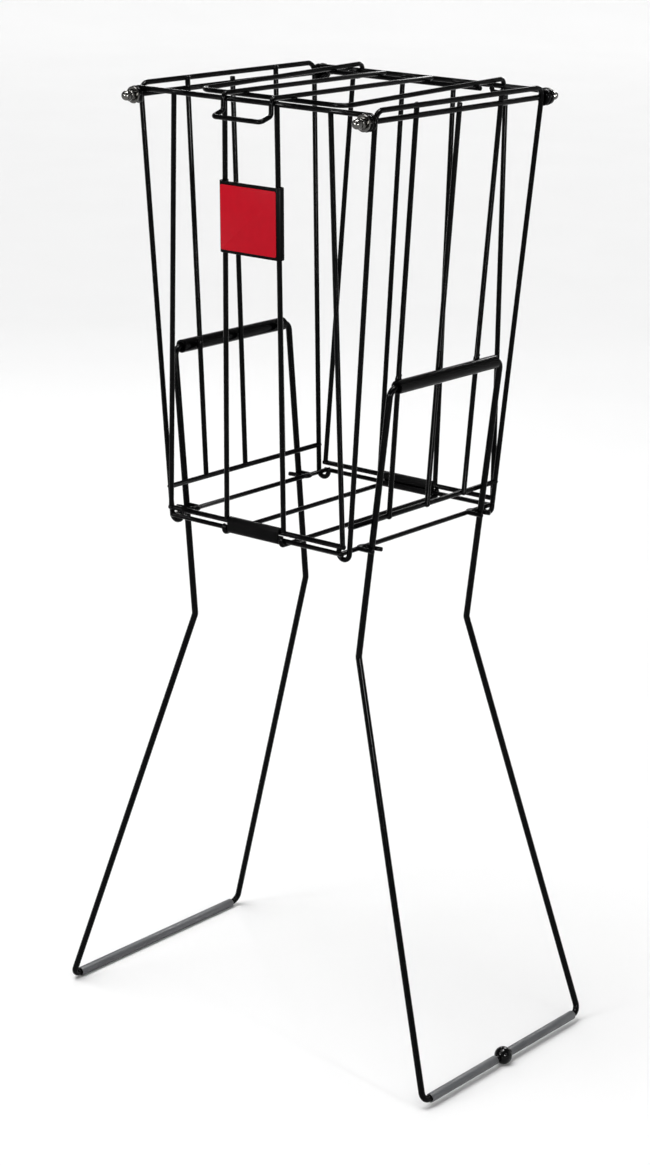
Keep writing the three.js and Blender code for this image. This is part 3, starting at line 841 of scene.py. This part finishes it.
class HOPPER_OT_bottom_grid(bpy.types.Operator):
    """Make the bottom grid: frame, two bars curled round its ends and four sprung forks"""

    bl_idname = "hopper.bottom_grid"
    bl_label = "Bottom grid"

    def execute(self, context):
        basket, wires, legs = settings(context, "basket", "wires", "legs")
        r, z = wires.grid, basket.grid_z
        side_bar = side_x(basket, z) - basket.post_hook
        end_bar = front_y(basket, z)
        reach = side_bar + GRID_OVERHANG
        across, along, bars, forks, beads = [], [], [], [], []
        for side in BOTH:
            across.append(wire([Vector((x, side * end_bar, z)) for x in (-reach, reach)], r))
            along.append(wire([Vector((side * side_bar, y, z)) for y in (-end_bar, end_bar)], r))
            for end in BOTH:
                beads.append(weld(Vector((side * side_bar, end * end_bar, z)), Z, r, GRID_WELD))
        for x in (-basket.upright_inner_bottom, basket.upright_inner_bottom):
            curls = [arc(Vector((x, side * end_bar, z)), Y * side, Z, 2 * r - CURL_BITE,
                         -math.pi / 2, CURL_TURN) for side in BOTH]
            bars.append(wire(list(reversed(curls[0])) + curls[1], r))
        fork_half = wires.leg + CLEARANCE + wires.fork
        tip = leg_upright_x(legs, z) + wires.leg + FORK_REACH

        def prong(side, y, edge):
            return [Vector((side * tip, y + edge * (fork_half + FORK_FLARE), z)),
                    Vector((side * (tip - FORK_TIP), y + edge * fork_half, z))]

        for side in BOTH:
            for y in (-legs.upright_y, legs.upright_y):
                bow = arc(Vector((side * reach, y, z)), -Y, X * -side, fork_half, 0, math.pi)
                route = prong(side, y, -1) + bow + list(reversed(prong(side, y, 1)))
                forks.append(wire(route, wires.fork, FORK_SIDES))
                for edge in BOTH:
                    at_bar = Vector((side * side_bar, y + edge * fork_half, z))
                    beads.append(weld(at_bar, Z, r, FORK_WELD))
        mesh = placed(combined([across, along, bars, forks, beads]))
        add_piece(context, "bottom_grid_wires", mesh, "basket", "bottom_grid", "coated_wire")
        return {"FINISHED"}


class HOPPER_OT_binding_sleeves(bpy.types.Operator):
    """Make the split sleeves that bind the end panels to the bottom grid"""

    bl_idname = "hopper.binding_sleeves"
    bl_label = "Binding sleeves"

    def execute(self, context):
        basket, wires, parts = settings(context, "basket", "wires", "fastenings")
        radius = wires.panel + CLEARANCE + parts.binding_wall / 2
        half = (basket.bottom_z - basket.grid_z) / 2
        centre = Vector((0, -basket.bottom_y + BINDING_BACK, basket.bottom_z - half))
        route = [centre + Vector((0, radius, BINDING_SLIT))]
        route += arc(centre + Z * half, Y, Z, radius, 0, math.pi)
        route += arc(centre - Z * half, Y, Z, radius, math.pi, 2 * math.pi)
        route.append(centre + Vector((0, radius, -BINDING_SLIT)))
        for end, sign in ENDS:
            mesh = thickened(strip(route, X, parts.binding_length), parts.binding_wall, BINDING_EDGE)
            add_piece(context, f"{end}_binding", placed(mesh, sign, SHEET_SMOOTH), "basket",
                      f"{end}_binding_sleeve", "black_plastic")
        return {"FINISHED"}


class HOPPER_OT_washers_and_nuts(bpy.types.Operator):
    """Make the washers and acorn nuts on the ends of the rods"""

    bl_idname = "hopper.washers_and_nuts"
    bl_label = "Washers and acorn nuts"

    def execute(self, context):
        basket, wires, parts = settings(context, "basket", "wires", "fastenings")
        bore = wires.rod + CLEARANCE
        washer_y = -(basket.top_y + 3 * wires.panel + COIL_GAP + CLEARANCE)
        nut_y = washer_y - parts.washer_thickness - CLEARANCE
        for end, sign in ENDS:
            for side in BOTH:
                corner = f"{end}_{'right' if side * sign > 0 else 'left'}"
                for piece, node, mesh, y, smooth in (
                    ("washer_ring", "washer", self.washer(parts, bore), washer_y, SMOOTH),
                    ("domed_nut", "acorn_nut", self.nut(parts, bore), nut_y, NUT_SMOOTH),
                ):
                    mesh.transform(Matrix.Translation((side * basket.top_x, y, basket.eye_z)))
                    add_piece(context, f"{corner}_{piece}", placed(mesh, sign, smooth), "basket",
                              f"{corner}_{node}", "bright_nickel")
        return {"FINISHED"}

    def washer(self, parts, bore):
        """A stamped ring, rounder at the edge of its outer face."""
        rim, thick, edge = parts.washer_radius, parts.washer_thickness, WASHER_EDGE
        return from_bmesh(turned([
            (bore, -edge), (bore + edge, 0), (rim - edge, 0), (rim, -edge),
            (rim, -thick + 2 * edge), (rim - 2 * edge, -thick),
            (bore + edge, -thick), (bore, -thick + edge),
        ]))

    def nut(self, parts, bore):
        """A hexagon chamfered at its corners, with a domed cap and a blind bore."""
        corner, height, dome, neck = parts.nut_corner, parts.nut_hex, parts.nut_dome, NUT_NECK
        hexagon = bmesh.new()
        bmesh.ops.create_cone(hexagon, cap_ends=True, segments=6, radius1=corner, radius2=corner,
                              depth=height)
        along_y = Matrix.Translation((0, -height / 2, 0)) @ Matrix.Rotation(math.pi / 2, 4, "X")
        bmesh.ops.transform(hexagon, matrix=along_y, verts=hexagon.verts)
        soften(hexagon, list(hexagon.edges), FINE_EDGE, 2)
        face = corner * math.cos(math.pi / 6) + NUT_CHAMFER * CHAMFER_OUT
        limit = turned([(0, CUT_LAP), (face, CUT_LAP), (corner, -NUT_CHAMFER),
                        (corner, -height + NUT_CHAMFER), (face, -height - CUT_LAP), (0, -height - CUT_LAP)])
        chamfered = to_bmesh(combined([[hexagon], [limit]], "INTERSECT"))
        shoulder = parts.nut_height - dome
        cap = [(0, -CAP_ROOT), (dome - neck, -CAP_ROOT), (dome - neck, -height - neck),
               (dome, -height - 2 * neck), (dome, -shoulder)]
        for k in range(1, DOME_ROWS + 1):
            over = math.pi / 2 * k / DOME_ROWS
            cap.append((dome * math.cos(over) if k < DOME_ROWS else 0, -shoulder - dome * math.sin(over)))
        body = to_bmesh(combined([[chamfered], [turned(cap)]]))
        mouth = bore + NUT_CHAMFER
        hole = turned([(0, BORE_MOUTH), (mouth, BORE_MOUTH), (mouth, 0), (bore, -NUT_CHAMFER),
                       (bore, -BORE_DEPTH), (0, -BORE_TIP)])
        return combined([[body], [hole]], "DIFFERENCE")


class HOPPER_OT_sign(bpy.types.Operator):
    """Make the sign plate that clips round the middle uprights, and its bare red label"""

    bl_idname = "hopper.sign"
    bl_label = "Sign plate and label"

    def execute(self, context):
        basket, wires, parts = settings(context, "basket", "wires", "fastenings")
        share = (parts.sign_z - basket.bottom_z) / (rim_z(basket) - basket.bottom_z)
        half = mix(basket.upright_inner_bottom, basket.upright_inner_top, share)
        bore = wires.panel + SIGN_PLAY
        radius = bore + parts.sign_wall / 2
        route = arc(Vector((-half, 0, 0)), X, Y, radius, -math.pi - SIGN_WRAP, -math.pi / 2)
        route += arc(Vector((half, 0, 0)), X, Y, radius, -math.pi / 2, SIGN_WRAP)
        plate = thickened(strip(route, Z, parts.sign_height), parts.sign_wall, PLATE_EDGE)
        label = self.label(parts, bore + parts.sign_wall + CLEARANCE)
        lean = math.atan2(basket.top_y - basket.bottom_y, basket.eye_z - basket.bottom_z)
        stand = Matrix.Translation((0, -front_y(basket, parts.sign_z), parts.sign_z))
        for name, mesh, node, slot in (("sign_backing", plate, "sign_plate", "black_plastic"),
                                       ("sign_face", label, "sign_label", "red_label")):
            mesh.transform(stand @ Matrix.Rotation(lean, 4, "X"))
            add_piece(context, name, placed(mesh, 1, SHEET_SMOOTH), "basket", node, slot)
        return {"FINISHED"}

    def label(self, parts, out):
        """A thin card with round corners and fine edges, so far in front of the origin."""
        bm = bmesh.new()
        bmesh.ops.create_cube(bm, size=1)
        size = Matrix.Diagonal((parts.label_width, parts.label_thickness, parts.label_height, 1))
        place = Matrix.Translation((0, -(out + parts.label_thickness / 2), 0))
        bmesh.ops.transform(bm, matrix=place @ size, verts=bm.verts)
        corners = [edge for edge in bm.edges if abs((edge.verts[0].co - edge.verts[1].co).y) > TINY]
        soften(bm, corners, LABEL_CORNER, 6)
        rims = [edge for edge in bm.edges
                if edge.is_manifold and edge.calc_face_angle() > LABEL_EDGE_ANGLE]
        soften(bm, rims, FINE_EDGE, 2)
        return from_bmesh(bm)


class HOPPER_OT_leg_frames(bpy.types.Operator):
    """Make the two leg frames, each one bent wire"""

    bl_idname = "hopper.leg_frames"
    bl_label = "Leg frames"

    def execute(self, context):
        wires, legs = settings(context, "wires", "legs")
        for (place, sign), foot_z in zip(SIDES, (legs.grip_radius, legs.knob_radius)):
            half = [Vector((legs.pivot_x, -LEG_END, legs.pivot_z)),
                    Vector((legs.pivot_x, -legs.upright_y, legs.pivot_z)),
                    Vector((legs.knee_x, -legs.upright_y, legs.knee_z)),
                    Vector((legs.foot_x, -legs.foot_y, foot_z))]
            route = rounded(and_back(half, Y), legs.bend)
            mesh = placed(from_bmesh(wire(route, wires.leg, LEG_SIDES)), sign)
            add_piece(context, f"{place}_leg_wire", mesh, f"{place}_leg", f"{place}_leg_frame",
                      "coated_wire")
        return {"FINISHED"}


class HOPPER_OT_pivot_sleeves(bpy.types.Operator):
    """Make the sleeves in which the leg frames turn"""

    bl_idname = "hopper.pivot_sleeves"
    bl_label = "Pivot sleeves"

    def execute(self, context):
        wires, legs = settings(context, "wires", "legs")
        for place, sign in SIDES:
            mesh = tube((sign * legs.pivot_x, 0, legs.pivot_z), legs.sleeve_radius,
                        wires.leg + CLEARANCE, -legs.sleeve_half, legs.sleeve_half, SLEEVE_EDGE)
            add_piece(context, f"{place}_sleeve", mesh, "basket", f"{place}_pivot_sleeve", "coated_wire")
        return {"FINISHED"}


class HOPPER_OT_grips(bpy.types.Operator):
    """Make the grips on the foot bars: one long one on the left, two short ones on the right"""

    bl_idname = "hopper.grips"
    bl_label = "Grips"

    def execute(self, context):
        wires, legs = settings(context, "wires", "legs")
        inner = legs.knob_radius + CLEARANCE
        stretches = (
            ("left_grip", "left_leg", -1, -legs.grip_end, legs.grip_end, legs.grip_radius),
            ("right_front_grip", "right_leg", 1, -legs.grip_end, -inner - legs.grip_gap, legs.knob_radius),
            ("right_rear_grip", "right_leg", 1, inner, legs.grip_end, legs.knob_radius),
        )
        for node, body, side, low, high, z in stretches:
            mesh = tube((side * legs.foot_x, 0, z), legs.grip_radius, wires.leg + CLEARANCE, low, high,
                        GRIP_EDGE)
            add_piece(context, f"{node}_sleeve", mesh, body, node, "grey_grip",
                      PLACE_SLACK + legs.grip_gap)
        return {"FINISHED"}


class HOPPER_OT_knob(bpy.types.Operator):
    """Make the ball knob on the right foot bar"""

    bl_idname = "hopper.knob"
    bl_label = "Ball knob"

    def execute(self, context):
        wires, legs = settings(context, "wires", "legs")
        start = math.asin((wires.leg + CLEARANCE) / legs.knob_radius)
        rows = []
        for k in range(KNOB_ROWS + 1):
            over = mix(start, math.pi - start, k / KNOB_ROWS)
            reach = legs.knob_radius - (KNOB_GROOVE if k == KNOB_ROWS // 2 else 0)
            rows.append((reach * math.sin(over), -reach * math.cos(over)))
        mesh = from_bmesh(turned(rows, KNOB_STEPS))
        mesh.transform(Matrix.Translation((legs.foot_x, 0, legs.knob_radius)))
        add_piece(context, "foot_knob", placed(mesh), "right_leg", "ball_knob", "gloss_black")
        return {"FINISHED"}


class HOPPER_OT_lid(bpy.types.Operator):
    """Make the lid: hooked frame wire, cross bar and latch wire"""

    bl_idname = "hopper.lid"
    bl_label = "Lid"

    def execute(self, context):
        basket, wires, lid = settings(context, "basket", "wires", "lid")
        r = wires.lid
        hinge = Vector((0, basket.top_y, rim_z(basket)))
        rim_y = -2 * basket.top_y
        over = wires.panel + CLEARANCE + r
        under = over - 2 * r + CLEARANCE

        def at(x, y, z):
            return hinge + Vector((x, y, z))

        def hook(side):
            x = side * lid.half_x
            back = arc(at(x, 0, 0), Y, Z, lid.rear_rise, math.pi / 2, -math.pi / 2)
            return back + rounded([at(x, y, z - lid.rear_rise) for y, z in LID_TAIL], TAIL_BEND)

        def drop(x):
            start = at(x, -lid.cross_bar + LATCH_START, over)
            return [start] + arc(at(x, rim_y, 0), -Y, Z, over, math.pi / 2, 0)

        bow = rounded(and_back([at(-lid.half_x, 0, lid.rear_rise),
                                at(-lid.half_x, -lid.depth, lid.front_rise)], X), LID_BEND)
        frame_route = list(reversed(hook(-1))) + bow[1:-1] + hook(1)
        reach = lid.half_x + lid.cross_overhang
        cross = [at(side * reach, -lid.cross_bar, under) for side in BOTH]
        left, front = -lid.latch_half, rim_y - over
        lip = rounded(and_back([at(left, front, 0), at(left, front, -LATCH_DROP),
                                at(left, front - lid.lip_reach, -lid.lip_drop)], X), LIP_BEND)
        latch = drop(left) + lip[1:-1] + list(reversed(drop(-left)))
        slope = mix(lid.rear_rise, lid.front_rise, lid.cross_bar / lid.depth)
        beads = []
        for side in BOTH:
            for x, y, lower, upper in ((lid.half_x, lid.cross_bar, slope, under),
                                       (lid.latch_half, lid.cross_bar, over, under),
                                       (lid.latch_half, lid.depth, over, lid.front_rise)):
                beads.append(weld(at(side * x, -y, (lower + upper) / 2), Z, r, LID_WELD))
        mesh = placed(combined([[wire(frame_route, r)], [wire(cross, r)], [wire(latch, r)], beads]))
        add_piece(context, "lid_wires", mesh, "lid", "lid", "coated_wire")
        return {"FINISHED"}


class HOPPER_OT_stage(bpy.types.Operator):
    """Make the pale floor, the soft lights and the camera"""

    bl_idname = "hopper.stage"
    bl_label = "Stage"

    def execute(self, context):
        stage = context.scene.hopper_stage
        foot = X * FLOOR_RADIUS + Z * SWEEP_RADIUS
        sweep = arc(foot, -Z, X, SWEEP_RADIUS, 0, math.pi / 2)
        top = X * (FLOOR_RADIUS + SWEEP_RADIUS) + Z * WALL_TOP
        floor = bpy.data.objects.new("floor", from_bmesh(spun([Vector()] + sweep + [top], Z, FLOOR_STEPS)))
        floor.data.shade_smooth()
        floor.data.materials.append(finish_of(context, "studio_floor"))
        context.scene.collection.objects.link(floor)
        world = bpy.data.worlds.new("studio")
        world.use_nodes = True
        world.node_tree.nodes["Background"].inputs["Color"].default_value = (1, 1, 1, 1)
        world.node_tree.nodes["Background"].inputs["Strength"].default_value = stage.sky
        context.scene.world = world
        context.scene.view_settings.view_transform = "Standard"
        ceiling = bpy.data.lights.new("ceiling", "SUN")
        ceiling.energy = stage.ceiling
        ceiling.angle = CEILING_SPREAD
        lamp = bpy.data.objects.new("ceiling", ceiling)
        lamp.rotation_euler = CEILING_TILT
        context.scene.collection.objects.link(lamp)
        for name, place in LIGHTS:
            self.light(context, name, getattr(stage, name), place, LIGHT_SIZE)
        for name, place, size, share in SOFTBOXES:
            box = self.light(context, name, stage.softbox * share, place, size)
            box.visible_diffuse = False
        self.camera(context, stage)
        return {"FINISHED"}

    def light(self, context, name, watts, place, size):
        """A soft rectangular light that points at the basket and that the camera doesn't see."""
        data = bpy.data.lights.new(name, "AREA")
        data.shape = "RECTANGLE"
        data.energy = watts
        data.size, data.size_y = size
        lamp = bpy.data.objects.new(name, data)
        lamp.location = place
        aim = MIDDLE + Z * LIGHT_AIM - lamp.location
        lamp.rotation_euler = aim.to_track_quat("-Z", "Y").to_euler()
        lamp.visible_camera = False
        context.scene.collection.objects.link(lamp)
        return lamp

    def camera(self, context, stage):
        """The camera at the photographed viewing angle."""
        data = bpy.data.cameras.new("camera")
        data.sensor_fit = "VERTICAL"
        data.sensor_height = SENSOR
        data.lens = SENSOR / stage.frame_height
        forward = Vector((-math.sin(stage.azimuth) * math.cos(stage.pitch),
                          math.cos(stage.azimuth) * math.cos(stage.pitch), -math.sin(stage.pitch)))
        level = Vector((math.cos(stage.azimuth), math.sin(stage.azimuth), 0))
        above = level.cross(forward)
        right = level * math.cos(stage.roll) + above * math.sin(stage.roll)
        up = above * math.cos(stage.roll) - level * math.sin(stage.roll)
        place = MIDDLE + Z * stage.aim_z - forward * stage.distance
        place += right * stage.aim_right + up * stage.aim_up
        eye = bpy.data.objects.new("camera", data)
        eye.matrix_world = Matrix.Translation(place) @ Matrix((right, up, -forward)).transposed().to_4x4()
        context.scene.collection.objects.link(eye)
        context.scene.camera = eye


OPERATORS = (
    HOPPER_OT_end_panels,
    HOPPER_OT_side_panels,
    HOPPER_OT_bottom_grid,
    HOPPER_OT_binding_sleeves,
    HOPPER_OT_washers_and_nuts,
    HOPPER_OT_sign,
    HOPPER_OT_leg_frames,
    HOPPER_OT_pivot_sleeves,
    HOPPER_OT_grips,
    HOPPER_OT_knob,
    HOPPER_OT_lid,
    HOPPER_OT_stage,
)


class HOPPER_PT_panel(bpy.types.Panel):
    """The hopper's steps and sizes in the sidebar"""

    bl_idname = "HOPPER_PT_panel"
    bl_label = "Wire ball hopper"
    bl_space_type = "VIEW_3D"
    bl_region_type = "UI"
    bl_category = "Hopper"

    def draw(self, context):
        for operator in OPERATORS:
            self.layout.operator(operator.bl_idname)
        for name, group in SETTINGS.items():
            box = self.layout.box()
            box.label(text=group.__doc__)
            for prop in group.__annotations__:
                box.prop(getattr(context.scene, name), prop)


def register():
    """Registers the classes and hangs the settings on the scene."""
    for cls in (*SETTINGS.values(), *OPERATORS, HOPPER_PT_panel):
        bpy.utils.register_class(cls)
    for name, group in SETTINGS.items():
        setattr(bpy.types.Scene, name, PointerProperty(type=group))


def unregister():
    """Takes everything away again."""
    for name in SETTINGS:
        delattr(bpy.types.Scene, name)
    for cls in (HOPPER_PT_panel, *reversed(OPERATORS), *reversed(SETTINGS.values())):
        bpy.utils.unregister_class(cls)


def main():
    """Makes every piece and the stage."""
    register()
    for operator in OPERATORS:
        group, name = operator.bl_idname.split(".")
        getattr(getattr(bpy.ops, group), name)()


if __name__ == "__main__":
    main()
